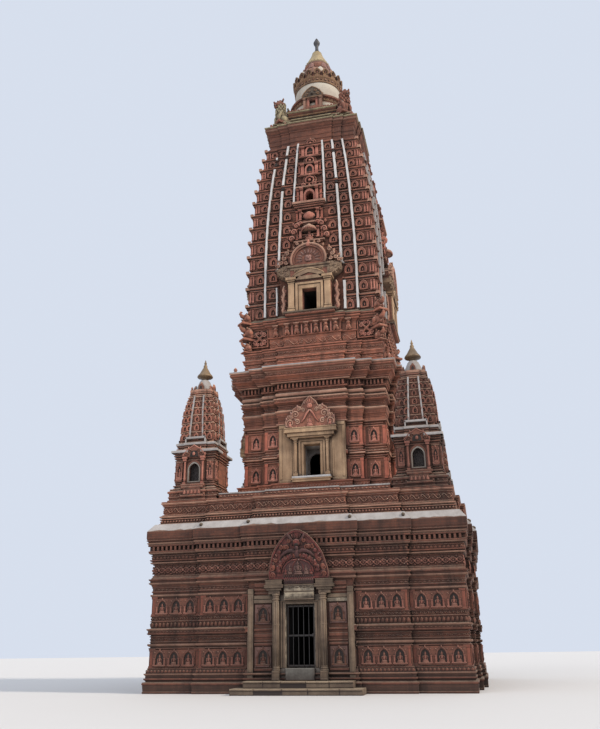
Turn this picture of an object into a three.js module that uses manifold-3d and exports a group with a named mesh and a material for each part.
// Brick shikhara temple: a square moulded ground storey with a shrine room, four corner
// turrets, a tower storey, a tall curved spire and a domed crown.
// Millimetres, +Z up, origin on the ground at the middle of the plan, front towards -Y.
import * as THREE from 'three';
import { mergeVertices } from 'three/addons/utils/BufferGeometryUtils.js';
import Module from 'manifold-3d';

const wasm = await Module();
wasm.setup();

// Driving dimensions

const GAP = 0.3; // joint between two pieces that are cut to each other
const FAR = 20000; // reach of a cutting block that has to pass the whole temple

// Ground storey
const BASE_HALF = 4070; // corner facet of the ground wall, from the middle of the plan
const BASE_STEP = 110; // how far each inner facet stands in front of the next
const BASE_BREAKS = [1350, 2700]; // half-widths of the middle facet and of the one beside it
const BASE_FACE = BASE_HALF + 2 * BASE_STEP;
const FLOOR_Z = 560;
const EAVE_Z = 4040;
const ROOM_HALF = 1700;

// Ground door
const DOOR_HALF = 370;
const DOOR_FOOT_Z = 580;
const DOOR_HEAD_Z = 2070;
const JAMB_HALF = 510;
const JAMB_BACK = 4100;
const JAMB_FRONT = BASE_FACE + 40;
const LINTEL_Z = 2290;
const BEAM_HALF = 385; // stone beam between the capitals
const BEAM_FRONT = BASE_FACE + 140;
const BEAM_FOOT_Z = 2160;
const BEAM_TOP_Z = 2535;
const BORDER_INNER = 1210;
const BORDER_OUTER = 1350;
const BORDER_Z = 2450;
const STEP_Z = 300;
const PILLAR_X = 600;
const PILLAR_Y = -4385;
const PILLAR_RADIUS = 82;
const CAPITAL_X = 645;
const CAPITAL_FRONT = BASE_FACE + 200;
const CAPITAL_Z = 2400;
const CAPITAL_TOP_Z = 2655;
const TORANA_BACK = 4365; // at its foot on the capitals
const TORANA_FRONT = 4455;
const TORANA_TOP_Z = 3850;
const TORANA_LEAN = 0.22; // outward, per unit of height

// Gate of iron bars
const GATE_PIVOT_X = -335;
const GATE_Y = -4215;
const GATE_FREE_X = 345;
const GATE_FOOT_Z = 600;
const GATE_HEAD_Z = 2050;
const GATE_PIN_RADIUS = 9;
const GATE_SOCKET_RADIUS = 10.5;
const GATE_SOCKET_DEPTH = 25;

// Turrets
const TURRET_CENTRE = 3150;
const TURRET_FOOT_Z = 4880;
const TURRET_WINDOW_HALF = 145;
const TURRET_ROOM_HALF = 340;

// Tower storey
const TOWER_HALF = 2140;
const TOWER_STEP = 150;
const TOWER_BREAKS = [1000, 1470];
const TOWER_FACE = TOWER_HALF + 2 * TOWER_STEP;
const TOWER_FOOT_Z = 5060;
const TOWER_FLOOR_Z = 5500;
const TOWER_TOP_Z = 8650;
const TOWER_ROOM_HALF = 1400;
const SHRINE_DOOR_HALF = 240;
const SHRINE_DOOR_FOOT_Z = 5660;
const SHRINE_DOOR_HEAD_Z = 6630;
const SHRINE_ARCH_BACK = 1650; // inner arch, deep in the passage
const SHRINE_ARCH_HALF = 240;
const SHRINE_ARCH_TOP_Z = 6530;
const SURROUND_HALF = 1000;
const SURROUND_Z = 7270;
const SURROUND_BACK = TOWER_HALF + TOWER_STEP;
const SURROUND_FRONT = TOWER_FACE + 60;

// Spire
const CORNICE_TOP_Z = 9470;
const SPIRE_FOOT_Z = 10950;
const SPIRE_TOP_Z = 17900;
const SPIRE_COURSES = 13;
const SPIRE_STEP = 45;
const SPIRE_BREAKS = [0.49, 0.71]; // of the half-width at that height
const SPIRE_ROOM_HALF = 950;
const WINDOW_HALF = 225;
const WINDOW_FOOT_Z = 11000;
const WINDOW_HEAD_Z = 11790;
const WINDOW_BACK = 2120;
const HOOD_HALF = 1060; // eave over the window shrine
const HOOD_Z = 12660;
const GABLE_HALF = 600; // round gable on that eave
const GABLE_Z = 13400;
const SMALL_WINDOW_HALF = 140;
const SMALL_WINDOW_FOOT_Z = 15200;
const SMALL_WINDOW_HEAD_Z = 15650;

// Crown
const CAP_TOP_Z = 18880;
const GUARDIAN_FOOT_Z = 19190;
const GUARDIAN_SEAT_Z = 19269; // on a low block
const GUARDIAN_PLACE = 1200; // across and in depth, from the middle of the plan
const CROWN_FLOOR_Z = 19750;
const PARAPET_CORNER = 980; // inner corner of the notches in the parapet
const PARAPET_BREAKS = [900, 975];
const NICHE_BACK = 920; // niche shrine on each side, standing against the seat of the dome
const NICHE_RECESS = 1000;
const NICHE_FRONT = 1180;
const DOME_FOOT_Z = 20560;
const DOME_TOP_Z = 22700;
const DOME_CLEARANCE = 925; // radius kept free of the niche gables

// Colours, roughness and metalness of the materials

const COLOURS = {
  brick: [0x8a4a38, 0.9, 0],
  shade_brick: [0x6e443a, 0.92, 0],
  terracotta: [0xa2584a, 0.85, 0],
  stone: [0xa98d62, 0.88, 0],
  grey_stone: [0x857a6c, 0.9, 0],
  lime: [0xd9d7cf, 0.8, 0],
  gilt: [0xb58f3a, 0.4, 0.9],
  iron: [0x2b2b2c, 0.6, 0.7],
};

const temple = new THREE.Group();

function place(name, geometry, colour) {
  const [color, roughness, metalness] = COLOURS[colour];
  const material = new THREE.MeshStandardMaterial({ color, roughness, metalness });
  const mesh = new THREE.Mesh(geometry, material);
  mesh.name = name;
  temple.add(mesh);
  return mesh;
}

// Solids and booleans

function solid(geometry) {
  geometry.deleteAttribute('normal');
  geometry.deleteAttribute('uv');
  const merged = mergeVertices(geometry, 0.001);
  const vertProperties = new Float32Array(merged.attributes.position.array);
  const triVerts = new Uint32Array(merged.index.array);
  return new wasm.Manifold(new wasm.Mesh({ numProp: 3, vertProperties, triVerts }));
}

function shell(body) {
  const mesh = body.getMesh();
  const geometry = new THREE.BufferGeometry();
  geometry.setAttribute('position', new THREE.BufferAttribute(new Float32Array(mesh.vertProperties), 3));
  geometry.setIndex(new THREE.BufferAttribute(new Uint32Array(mesh.triVerts), 1));
  geometry.computeVertexNormals();
  return geometry;
}

function block(x0, x1, y0, y1, z0, z1) {
  const geometry = new THREE.BoxGeometry(x1 - x0, y1 - y0, z1 - z0);
  geometry.translate((x0 + x1) / 2, (y0 + y1) / 2, (z0 + z1) / 2);
  return solid(geometry);
}

// Block centred on x = 0 whose depth is given as distances in front of the middle of the plan
function frontBlock(half, back, front, z0, z1) {
  return block(-half, half, -front, -back, z0, z1);
}

function join(bodies) {
  return bodies.reduce((sum, body) => sum.add(body));
}

function cut(body, tools) {
  return tools.reduce((rest, tool) => rest.subtract(tool), body);
}

// Outline drawn in X and Z as [x, z] pairs, extruded from depth `back` to depth `front`
function plate(points, back, front) {
  const shape = new THREE.Shape(points.map(([x, z]) => new THREE.Vector2(x, z)));
  const geometry = new THREE.ExtrudeGeometry(shape, { depth: front - back, bevelEnabled: false });
  geometry.rotateX(Math.PI / 2);
  geometry.translate(0, -back, 0);
  return solid(geometry);
}

function post(x, y, radius, z0, z1, sides) {
  const geometry = new THREE.CylinderGeometry(radius, radius, z1 - z0, sides);
  geometry.rotateX(Math.PI / 2);
  geometry.rotateZ(Math.PI / sides);
  geometry.translate(x, y, (z0 + z1) / 2);
  return solid(geometry);
}

// Round body from [radius, z] pairs that start and end on the axis
function turned(profile, sides) {
  const points = profile.map(([radius, z]) => new THREE.Vector2(radius, z));
  const geometry = new THREE.LatheGeometry(points, sides);
  geometry.rotateX(Math.PI / 2);
  return solid(geometry);
}

function quarterTurns(body, turns) {
  return body.rotate([0, 0, 90 * turns]);
}

function onFourSides(body) {
  return [0, 1, 2, 3].map((turns) => quarterTurns(body, turns));
}

// Square plan whose sides step outward towards their middle.
// `half` is the corner facet; each [width, distance] pair is a facet nearer the middle.
function steppedSquare(half, facets) {
  const side = [[-half, -half]];
  let distance = half;
  for (const [width, out] of facets) {
    side.push([-width, -distance], [-width, -out]);
    distance = out;
  }
  const back = side.slice(1).reverse();
  const right = back.map(([x, y]) => [-x, y]);
  const points = [];
  for (let turn = 0; turn < 4; turn += 1) {
    const cos = [1, 0, -1, 0][turn];
    const sin = [0, 1, 0, -1][turn];
    for (const [x, y] of [...side, ...right]) {
      points.push([x * cos - y * sin, x * sin + y * cos]);
    }
  }
  return points;
}

// Body with one outline for each [outline, z] ring, the rings in rising order
function stacked(rings) {
  const count = rings[0][0].length;
  const positions = [];
  const index = [];
  for (const [outline, z] of rings) {
    outline.forEach(([x, y]) => positions.push(x, y, z));
  }
  for (let ring = 0; ring < rings.length - 1; ring += 1) {
    for (let k = 0; k < count; k += 1) {
      const a = ring * count + k;
      const b = ring * count + ((k + 1) % count);
      index.push(a, b, b + count, a, b + count, a + count);
    }
  }
  const cap = (ring, up) => {
    const outline = rings[ring][0].map(([x, y]) => new THREE.Vector2(x, y));
    for (const [a, b, c] of THREE.ShapeUtils.triangulateShape(outline, [])) {
      const corners = [a, b, c].map((k) => ring * count + k);
      index.push(...(up ? corners : corners.reverse()));
    }
  };
  cap(0, false);
  cap(rings.length - 1, true);
  const geometry = new THREE.BufferGeometry();
  geometry.setAttribute('position', new THREE.Float32BufferAttribute(positions, 3));
  geometry.setIndex(index);
  return solid(geometry);
}

// Moulding rings: `profile` lists [offset, z] from the wall face
function moulded(profile, half, step, breaks) {
  const [middle, beside] = breaks;
  return stacked(profile.map(([offset, z]) => {
    const corner = half + offset;
    const facets = [[beside + offset, corner + step], [middle + offset, corner + 2 * step]];
    return [steppedSquare(corner, facets), z];
  }));
}

// Four walls cut from one moulded body round a square room
function fourWalls(body, roomHalf, z0, z1) {
  const inner = roomHalf - GAP;
  return {
    left: body.intersect(block(-FAR, -roomHalf, -FAR, FAR, z0, z1)),
    right: body.intersect(block(roomHalf, FAR, -FAR, FAR, z0, z1)),
    front: body.intersect(block(-inner, inner, -FAR, -roomHalf, z0, z1)),
    back: body.intersect(block(-inner, inner, roomHalf, FAR, z0, z1)),
  };
}

// Upright arch: straight jambs to the spring line, then a half round of `steps` chords
function archOutline(half, foot, head, steps) {
  const spring = head - half;
  const points = [[-half, foot], [half, foot]];
  for (let k = 0; k <= steps; k += 1) {
    const angle = (Math.PI * k) / steps;
    points.push([half * Math.cos(angle), spring + half * Math.sin(angle)]);
  }
  return points;
}

// Symmetric outline from the [x, z] points of its right half, foot first
function mirrored(right) {
  const left = right.filter(([x]) => x > 0).map(([x, z]) => [-x, z]).reverse();
  return [...right, ...left];
}

// Ground storey

const PLINTH_PROFILE = [
  [100, 0], [120, 215], [120, 265], [60, 275], [70, 460], [45, FLOOR_Z],
];
const BASE_PROFILE = [
  [10, FLOOR_Z], [0, 1390], [60, 1430], [60, 1540], [5, 1570], [5, 2560], [70, 2700], [70, 2790],
  [0, 2900], [0, 3190], [50, 3240], [60, 3700], [130, 3705], [190, 3860], [190, EAVE_Z],
];

function doorPanelCut(z0, z1) {
  return frontBlock(BORDER_OUTER + GAP, BASE_FACE, FAR, z0, z1);
}

function plinth() {
  const body = moulded(PLINTH_PROFILE, BASE_HALF, BASE_STEP, BASE_BREAKS);
  const bed = frontBlock(JAMB_HALF + GAP, JAMB_BACK, FAR, STEP_Z, FLOOR_Z + 1);
  place('plinth', shell(cut(body, [doorPanelCut(-1, FLOOR_Z + 1), bed])), 'shade_brick');
}

function groundWalls() {
  const body = moulded(BASE_PROFILE, BASE_HALF, BASE_STEP, BASE_BREAKS);
  const walls = fourWalls(body, ROOM_HALF, FLOOR_Z, EAVE_Z);
  const recess = frontBlock(JAMB_HALF + GAP, JAMB_BACK, FAR, FLOOR_Z - 1, LINTEL_Z + GAP);
  const passage = frontBlock(DOOR_HALF, ROOM_HALF - 1, FAR, FLOOR_Z - 1, DOOR_HEAD_Z);
  const front = cut(walls.front, [doorPanelCut(FLOOR_Z - 1, CAPITAL_TOP_Z + 5), recess, passage]);
  const side = block(-FAR, -DOOR_HALF, -FAR, FAR, 0, DOOR_HEAD_Z);
  const otherSide = block(DOOR_HALF, FAR, -FAR, FAR, 0, DOOR_HEAD_Z);
  const over = block(-FAR, FAR, -FAR, FAR, DOOR_HEAD_Z + GAP, EAVE_Z);
  place('front_wall_left', shell(front.intersect(side)), 'brick');
  place('front_wall_right', shell(front.intersect(otherSide)), 'brick');
  place('wall_over_door', shell(front.intersect(over)), 'brick');
  place('left_wall', shell(walls.left), 'brick');
  place('right_wall', shell(walls.right), 'brick');
  place('back_wall', shell(walls.back), 'brick');
}

function doorSteps() {
  const upper = frontBlock(BORDER_OUTER, BASE_FACE + GAP, BASE_FACE + 460, 0, STEP_Z);
  const lower = frontBlock(BORDER_OUTER + 250, BASE_FACE + 121, BASE_FACE + 710, 0, STEP_Z / 2);
  place('door_steps', shell(join([upper, lower])), 'grey_stone');
}

function threshold() {
  const body = frontBlock(JAMB_HALF, JAMB_BACK + GAP, JAMB_FRONT, STEP_Z, DOOR_FOOT_Z);
  const socket = post(GATE_PIVOT_X, GATE_Y, GATE_SOCKET_RADIUS, DOOR_FOOT_Z - GATE_SOCKET_DEPTH,
    DOOR_FOOT_Z + 1, 12);
  place('threshold', shell(body.subtract(socket)), 'grey_stone');
}

function doorFrame() {
  const slab = frontBlock(JAMB_HALF, JAMB_BACK + GAP, JAMB_FRONT, DOOR_FOOT_Z, LINTEL_Z);
  const opening = frontBlock(DOOR_HALF, 0, FAR, DOOR_FOOT_Z - 1, DOOR_HEAD_Z);
  const beam = frontBlock(BEAM_HALF, BASE_FACE + GAP, BEAM_FRONT, BEAM_FOOT_Z, BEAM_TOP_Z);
  const socket = post(GATE_PIVOT_X, GATE_Y, GATE_SOCKET_RADIUS, DOOR_HEAD_Z - 1,
    DOOR_HEAD_Z + GATE_SOCKET_DEPTH, 12);
  const body = cut(slab, [opening, socket]);
  place('door_frame', shell(body.add(beam)), 'stone');
}

function doorPillars() {
  for (const [name, sign] of [['left', -1], ['right', 1]]) {
    const x = sign * PILLAR_X;
    const wide = (half, front, z0, z1) => {
      const ends = [sign * (CAPITAL_X - half), sign * (CAPITAL_X + half)].sort((a, b) => a - b);
      return block(ends[0], ends[1], -front, -(BASE_FACE + GAP), z0, z1);
    };
    const body = join([
      block(x - 88, x + 88, PILLAR_Y - 100, PILLAR_Y + 90, STEP_Z, 520),
      post(x, PILLAR_Y, PILLAR_RADIUS, 519, 2330, 12),
      wide(145, CAPITAL_FRONT - 60, 2310, CAPITAL_Z + 1),
      wide(190, CAPITAL_FRONT - 30, CAPITAL_Z, 2460),
      wide(243, CAPITAL_FRONT, 2459, 2530),
      wide(212, CAPITAL_FRONT - 15, 2529, CAPITAL_TOP_Z),
    ]);
    place(`door_pillar_${name}`, shell(body), 'stone');
    const edges = [sign * BORDER_INNER, sign * BORDER_OUTER].sort((a, b) => a - b);
    const border = block(edges[0], edges[1], -(BASE_FACE + 60), -(BASE_FACE + GAP), STEP_Z, BORDER_Z);
    place(`door_border_${name}`, shell(border), 'stone');
  }
}

// Carved slab on the capitals, its panel reaching down to the beam, leaning out over the door
function doorTorana() {
  const panelHalf = CAPITAL_X - 243 - GAP;
  const right = [
    [panelHalf, BEAM_TOP_Z], [panelHalf, CAPITAL_TOP_Z], [792, CAPITAL_TOP_Z], [785, 2820], [745, 2980],
    [660, 3270], [480, 3540], [250, 3760], [110, 3830], [0, TORANA_TOP_Z],
  ];
  const slab = plate(mirrored(right), TORANA_BACK, TORANA_FRONT);
  const leaning = slab.warp((point) => {
    point[1] -= TORANA_LEAN * (point[2] - CAPITAL_TOP_Z);
  });
  place('door_torana', shell(leaning), 'terracotta');
}

function doorGate() {
  const stile = 15;
  const bar = 7;
  const rail = 6;
  const bars = 6;
  const pitch = (GATE_FREE_X - stile - GATE_PIVOT_X) / (bars - 1);
  const pieces = [];
  for (let k = 0; k < bars; k += 1) {
    const x = GATE_PIVOT_X + k * pitch;
    const half = k === 0 || k === bars - 1 ? stile : bar;
    pieces.push(block(x - half, x + half, GATE_Y - half, GATE_Y + half, GATE_FOOT_Z, GATE_HEAD_Z));
  }
  for (const z of [GATE_FOOT_Z + 30, (GATE_FOOT_Z + GATE_HEAD_Z) / 2, GATE_HEAD_Z - 30]) {
    pieces.push(block(GATE_PIVOT_X, GATE_FREE_X - stile, GATE_Y - rail, GATE_Y + rail, z - 20, z + 20));
  }
  pieces.push(post(GATE_PIVOT_X, GATE_Y, GATE_PIN_RADIUS, DOOR_FOOT_Z - GATE_SOCKET_DEPTH + GAP,
    DOOR_HEAD_Z + GATE_SOCKET_DEPTH - GAP, 12));
  place('door_gate', shell(join(pieces)), 'iron');
}

// Terrace over the ground storey

const TERRACE_PROFILE = [
  [190, EAVE_Z], [30, 4240], [-70, 4245], [-110, 4420], [-70, 4490], [-140, 4510], [-140, 4760],
  [-90, 4790], [-90, TURRET_FOOT_Z],
];
const TERRACE_STEP_PROFILE = [[-330, TURRET_FOOT_Z - 1], [-330, TOWER_FOOT_Z]];

function terrace() {
  const body = moulded(TERRACE_PROFILE, BASE_HALF, BASE_STEP, BASE_BREAKS);
  const step = moulded(TERRACE_STEP_PROFILE, BASE_HALF, BASE_STEP, BASE_BREAKS);
  const reach = TURRET_CENTRE - 761;
  const corner = block(reach, FAR, -FAR, -reach, TURRET_FOOT_Z, TOWER_FOOT_Z + 1);
  place('terrace', shell(body.add(cut(step, onFourSides(corner)))), 'brick');
}

// Corner turrets

const TURRET_PROFILE = [
  [700, TURRET_FOOT_Z], [700, 5200], [570, 5330], [570, 6220], [640, 6290], [640, 6370], [520, 6450],
  [580, 6520], [580, 6580], [500, 6640], [455, 7500], [350, 8060], [290, 8190], [325, 8205], [325, 8290],
  [230, 8300],
];
const TURRET_BELL_PROFILE = [
  [0, 8299], [262, 8299], [250, 8370], [200, 8480], [155, 8620], [100, 8680], [0, 8680],
];
const TURRET_FINIAL_PROFILE = [
  [0, 8680], [85, 8680], [90, 8730], [225, 8780], [220, 8815], [200, 8860], [130, 8970], [70, 9080],
  [35, 9180], [0, 9360],
];

function turrets() {
  const rings = TURRET_PROFILE.map(([half, z]) => {
    return [steppedSquare(half, [[half * 0.55, half + 45]]), z];
  });
  const window = plate(archOutline(TURRET_WINDOW_HALF, 5450, 5980, 8), TURRET_ROOM_HALF - 5, 1000);
  const room = block(-TURRET_ROOM_HALF, TURRET_ROOM_HALF, -TURRET_ROOM_HALF, TURRET_ROOM_HALF, 5450, 6150);
  const body = cut(stacked(rings), [room, window]).add(turned(TURRET_BELL_PROFILE, 12));
  const finial = turned(TURRET_FINIAL_PROFILE, 12);
  for (const [depth, y] of [['front', -1], ['back', 1]]) {
    for (const [side, x] of [['left', -1], ['right', 1]]) {
      const at = [x * TURRET_CENTRE, y * TURRET_CENTRE, 0];
      const turned180 = quarterTurns(body, y > 0 ? 2 : 0);
      place(`turret_${depth}_${side}`, shell(turned180.translate(at)), 'brick');
      place(`turret_finial_${depth}_${side}`, shell(finial.translate(at)), 'gilt');
    }
  }
}

// Tower storey

const TOWER_BASE_PROFILE = [
  [220, TOWER_FOOT_Z], [220, 5160], [160, 5190], [180, TOWER_FLOOR_Z],
];
const TOWER_PROFILE = [
  [5, TOWER_FLOOR_Z], [0, 6270], [60, 6310], [60, 6390], [0, 6430], [0, 7250], [50, 7300], [20, 7450],
  [80, 7620], [80, 7700], [20, 7760], [20, 7900], [110, 7960], [110, 8090], [30, 8150], [30, 8300],
  [60, 8400], [60, 8560], [190, 8570], [220, TOWER_TOP_Z],
];
const CORNICE_PROFILE = [
  [230, TOWER_TOP_Z], [330, 8740], [345, 8900], [410, 8930], [410, 9050], [60, 9120],
  [30, CORNICE_TOP_Z],
];

function towerStorey() {
  const foot = moulded(TOWER_BASE_PROFILE, TOWER_HALF, TOWER_STEP, TOWER_BREAKS);
  place('tower_base', shell(foot), 'brick');
  const body = moulded(TOWER_PROFILE, TOWER_HALF, TOWER_STEP, TOWER_BREAKS);
  const bed = frontBlock(SURROUND_HALF + GAP, SURROUND_BACK, FAR, TOWER_FLOOR_Z - 1, SURROUND_Z + GAP);
  const carved = cut(body, onFourSides(bed));
  const walls = fourWalls(carved, TOWER_ROOM_HALF, TOWER_FLOOR_Z, TOWER_TOP_Z);
  const passage = frontBlock(SHRINE_DOOR_HALF + 60, 0, FAR, SHRINE_DOOR_FOOT_Z, SHRINE_DOOR_HEAD_Z + 40);
  const front = walls.front.subtract(passage);
  const head = SHRINE_DOOR_HEAD_Z + 40;
  place('tower_wall_front_left', shell(front.intersect(block(-FAR, -GAP, -FAR, FAR, 0, head))), 'brick');
  place('tower_wall_front_right', shell(front.intersect(block(GAP, FAR, -FAR, FAR, 0, head))), 'brick');
  const over = block(-FAR, FAR, -FAR, FAR, head + GAP, FAR);
  place('tower_wall_over_door', shell(front.intersect(over)), 'brick');
  place('tower_wall_left', shell(walls.left), 'brick');
  place('tower_wall_right', shell(walls.right), 'brick');
  place('tower_wall_back', shell(walls.back), 'brick');
  place('tower_cornice', shell(moulded(CORNICE_PROFILE, TOWER_HALF, TOWER_STEP, TOWER_BREAKS)), 'brick');
}

function shrineHood() {
  const deep = SURROUND_FRONT + 250;
  return join([
    frontBlock(700, SURROUND_FRONT + GAP, deep - 40, 6850, 6950),
    frontBlock(770, SURROUND_FRONT + GAP, deep, 6949, 7100),
  ]);
}

function shrineColumns() {
  const columns = [-1, 1].map((sign) => join([
    block(sign * 475 - 70, sign * 475 + 70, -(SURROUND_FRONT + 150), -(SURROUND_FRONT + GAP), 5640, 5760),
    post(sign * 475, -(SURROUND_FRONT + 75), 45, 5750, 6780, 8),
    block(sign * 475 - 80, sign * 475 + 80, -(SURROUND_FRONT + 150), -(SURROUND_FRONT + GAP), 6770, 6851),
  ]));
  return join(columns);
}

function shrineToranaPlate() {
  const right = [
    [720, 7100], [740, 7300], [660, 7480], [540, 7520], [500, 7680], [360, 7760], [250, 7740],
    [180, 7880], [90, 7960], [0, 8060],
  ];
  return plate(mirrored(right), TOWER_FACE + 111, SURROUND_FRONT + 220);
}

function shrine() {
  const slab = frontBlock(SURROUND_HALF, SURROUND_BACK + GAP, SURROUND_FRONT, TOWER_FLOOR_Z, SURROUND_Z);
  const opening = frontBlock(SHRINE_DOOR_HALF, 0, FAR, SHRINE_DOOR_FOOT_Z, SHRINE_DOOR_HEAD_Z);
  place('shrine_surround', shell(slab.subtract(opening)), 'stone');
  const sill = frontBlock(560, SURROUND_FRONT + GAP, SURROUND_FRONT + 200, TOWER_FLOOR_Z, 5645);
  place('shrine_porch', shell(join([sill, shrineColumns(), shrineHood()])), 'stone');
  place('shrine_torana', shell(shrineToranaPlate()), 'terracotta');
  const panelHalf = SHRINE_DOOR_HALF + 60 - GAP;
  const panel = frontBlock(panelHalf, SHRINE_ARCH_BACK, SHRINE_ARCH_BACK + 100, SHRINE_DOOR_FOOT_Z,
    SHRINE_DOOR_HEAD_Z + 40 - GAP);
  const archShape = archOutline(SHRINE_ARCH_HALF, SHRINE_DOOR_FOOT_Z - 1, SHRINE_ARCH_TOP_Z, 10);
  const arch = plate(archShape, 0, FAR);
  place('shrine_inner_arch', shell(panel.subtract(arch)), 'lime');
}

function blindShrines() {
  const slab = frontBlock(SURROUND_HALF, SURROUND_BACK + GAP, SURROUND_FRONT, TOWER_FLOOR_Z, SURROUND_Z);
  const niche = frontBlock(SHRINE_DOOR_HALF, SURROUND_FRONT - 120, FAR, SHRINE_DOOR_FOOT_Z,
    SHRINE_DOOR_HEAD_Z);
  const sill = frontBlock(560, SURROUND_FRONT - 1, SURROUND_FRONT + 200, TOWER_FLOOR_Z, 5645);
  const hood = frontBlock(770, SURROUND_FRONT - 1, SURROUND_FRONT + 250, 6850, 7100);
  const torana = shrineToranaPlate();
  const body = join([slab.subtract(niche), sill, shrineColumns(), hood, torana]);
  for (const [side, turns] of [['right', 1], ['back', 2], ['left', 3]]) {
    place(`blind_shrine_${side}`, shell(quarterTurns(body, turns)), 'stone');
  }
}

// Block with the bracket row, under the spire

const BRACKET_PROFILE = [
  [90, CORNICE_TOP_Z], [90, 9560], [20, 9600], [60, 9760], [60, 9850], [-120, 9890], [-80, 10600],
  [40, 10740], [40, 10840], [-40, SPIRE_FOOT_Z],
];

function bracketStorey() {
  place('bracket_storey', shell(moulded(BRACKET_PROFILE, TOWER_HALF, 70, [1030, 1500])), 'brick');
}

// Spire

// Half-width of the corner facet: upright at first, then curving in faster and faster
function spireHalf(z) {
  const rise = (z - SPIRE_FOOT_Z) / (SPIRE_TOP_Z - SPIRE_FOOT_Z);
  return 2140 - 545 * rise ** 2.6;
}

function spireRing(half, z) {
  const [middle, beside] = SPIRE_BREAKS.map((share) => share * half);
  const facets = [[beside, half + SPIRE_STEP], [middle, half + 2 * SPIRE_STEP]];
  return [steppedSquare(half, facets), z];
}

function spireBody() {
  const rings = [];
  const taper = 0.0265; // each course is lower than the one under it by this share of the first
  const loss = (taper * SPIRE_COURSES * (SPIRE_COURSES - 1)) / 2;
  const first = (SPIRE_TOP_Z - SPIRE_FOOT_Z) / (SPIRE_COURSES - loss);
  let z = SPIRE_FOOT_Z;
  for (let course = 0; course < SPIRE_COURSES; course += 1) {
    const height = first * (1 - taper * course);
    const last = course === SPIRE_COURSES - 1;
    rings.push(spireRing(spireHalf(z) - 70, z));
    rings.push(spireRing(spireHalf(z + height / 2), z + 0.8 * height));
    if (last) rings.push(spireRing(spireHalf(SPIRE_TOP_Z) - 70, SPIRE_TOP_Z));
    z += height;
  }
  return stacked(rings);
}

function spireWindow() {
  const front = WINDOW_BACK + 300;
  const frame = frontBlock(700, WINDOW_BACK + GAP, front, SPIRE_FOOT_Z, 12210);
  const opening = frontBlock(WINDOW_HALF, 0, FAR, WINDOW_FOOT_Z, WINDOW_HEAD_Z);
  const hood = mirrored([
    [740, 12180], [HOOD_HALF - 20, 12380], [HOOD_HALF, 12520], [900, 12570], [760, 12640],
    [GABLE_HALF, HOOD_Z], [590, 12850], [520, 13060], [400, 13210], [260, 13310], [120, 13360],
    [0, GABLE_Z],
  ]);
  const sill = frontBlock(820, WINDOW_BACK + GAP, front + 60, SPIRE_FOOT_Z, WINDOW_FOOT_Z);
  return join([frame.subtract(opening), plate(hood, WINDOW_BACK + GAP, front + 60), sill]);
}

function spire() {
  const bed = frontBlock(HOOD_HALF + GAP, WINDOW_BACK, FAR, SPIRE_FOOT_Z - 1, HOOD_Z + GAP);
  const upperBed = frontBlock(GABLE_HALF + GAP, WINDOW_BACK, FAR, HOOD_Z, GABLE_Z + GAP);
  const window = frontBlock(WINDOW_HALF, 0, FAR, WINDOW_FOOT_Z, WINDOW_HEAD_Z);
  const small = plate(archOutline(SMALL_WINDOW_HALF, SMALL_WINDOW_FOOT_Z, SMALL_WINDOW_HEAD_Z, 8), 0, 9000);
  const tools = [bed, upperBed, window, small].flatMap(onFourSides);
  const walls = fourWalls(cut(spireBody(), tools), SPIRE_ROOM_HALF, SPIRE_FOOT_Z, SPIRE_TOP_Z);
  const aedicule = spireWindow();
  ['front', 'right', 'back', 'left'].forEach((side, turns) => {
    place(`spire_${side}`, shell(walls[side]), 'brick');
    place(`spire_window_${side}`, shell(quarterTurns(aedicule, turns)), 'terracotta');
  });
}

// Crown

const CAP_PROFILE = [
  [1530, SPIRE_TOP_Z], [1560, 18560], [1610, 18620], [1680, 18760], [1680, CAP_TOP_Z],
];
const CROWN_FOOT_PROFILE = [[1420, CAP_TOP_Z], [1400, GUARDIAN_FOOT_Z]];
const PARAPET_PROFILE = [
  [135, GUARDIAN_FOOT_Z - 1], [135, 19520], [175, 19600], [175, 19680], [125, CROWN_FLOOR_Z],
];
const DOME_SEAT_PROFILE = [
  [0, CROWN_FLOOR_Z - 1], [1080, CROWN_FLOOR_Z - 1], [1080, 19960], [1040, 20000], [1060, 20160],
  [1020, 20200], [1020, 20420], [1090, 20480], [1100, DOME_FOOT_Z], [0, DOME_FOOT_Z],
];
const GUARDIAN_PROFILE = [
  [0, GUARDIAN_SEAT_Z], [150, GUARDIAN_SEAT_Z], [165, 19500], [165, 19800], [120, 19990], [90, 20060],
  [90, 20250], [50, 20330], [0, 20330],
];
const DOME_PROFILE = [
  [0, DOME_FOOT_Z], [900, DOME_FOOT_Z], [905, 20900], [885, 21280], [910, 21320], [905, 21500],
  [945, 21600], [925, 21880], [790, 22010], [645, 22280], [530, 22560], [480, DOME_TOP_Z],
  [0, DOME_TOP_Z],
];
const FINIAL_PROFILE = [
  [0, DOME_TOP_Z], [480, DOME_TOP_Z], [490, 22760], [425, 22900], [330, 23110], [262, 23240],
  [200, 23420], [110, 23500], [110, 23620], [70, 23700], [70, 23860], [120, 23960], [120, 24060],
  [50, 24180], [0, 24320],
];

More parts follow.
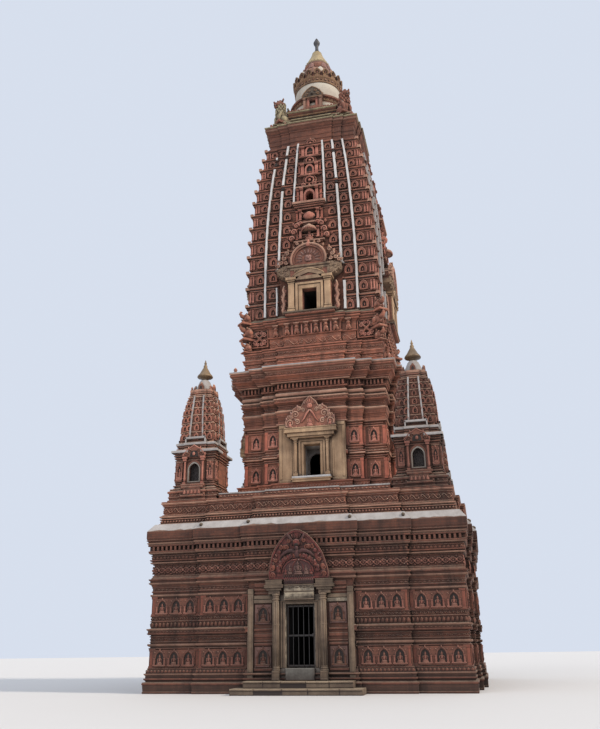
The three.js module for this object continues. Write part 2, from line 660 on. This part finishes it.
// Parapet ring with notched corners, its facets `step` apart
function parapetRing(step, z) {
  const facets = [[PARAPET_BREAKS[1], PARAPET_CORNER + step], [PARAPET_BREAKS[0], PARAPET_CORNER + 2 * step]];
  return [steppedSquare(PARAPET_CORNER, facets), z];
}

// Guardian beast sitting on its block in the notch at the front left corner, facing outward
function guardian() {
  const beast = join([
    turned(GUARDIAN_PROFILE, 8),
    frontBlock(75, 0, 240, 20070, 20190),
    block(-120, 120, 0, 250, GUARDIAN_SEAT_Z, 19620),
  ]);
  const pedestal = block(-200, 200, -200, 200, GUARDIAN_FOOT_Z - 1, GUARDIAN_SEAT_Z + 1);
  return beast.rotate([0, 0, -45]).add(pedestal).translate([-GUARDIAN_PLACE, -GUARDIAN_PLACE, 0]);
}

// Niche shrine in the middle of a side, under a pointed gable that reaches back to the dome
function crownNiche() {
  const porch = mirrored([
    [350, CROWN_FLOOR_Z], [350, 20360], [390, 20400], [380, 20480], [320, 20580], [220, 20700],
    [110, 20790], [0, 20850],
  ]);
  return plate(porch, NICHE_BACK, NICHE_FRONT);
}

function crown() {
  const capRings = CAP_PROFILE.map(([half, z]) => spireRing(half, z));
  place('spire_cap', shell(stacked(capRings)), 'brick');
  const foot = stacked(CROWN_FOOT_PROFILE.map(([half, z]) => spireRing(half, z)));
  const parapet = stacked(PARAPET_PROFILE.map(([step, z]) => parapetRing(step, z)));
  const seat = turned(DOME_SEAT_PROFILE, 20);
  const body = join([foot, parapet, seat, ...onFourSides(crownNiche()), ...onFourSides(guardian())]);
  const recess = frontBlock(110, NICHE_RECESS, FAR, 19990, 20230);
  const dome = post(0, 0, DOME_CLEARANCE, DOME_FOOT_Z, DOME_TOP_Z, 20);
  place('crown_terrace', shell(cut(body, [...onFourSides(recess), dome])), 'brick');
  place('crown_dome', shell(turned(DOME_PROFILE, 20)), 'lime');
  place('crown_finial', shell(turned(FINIAL_PROFILE, 12)), 'gilt');
}

plinth();
groundWalls();
doorSteps();
threshold();
doorFrame();
doorPillars();
doorTorana();
doorGate();
terrace();
turrets();
towerStorey();
shrine();
blindShrines();
bracketStorey();
spire();
crown();

export default temple;
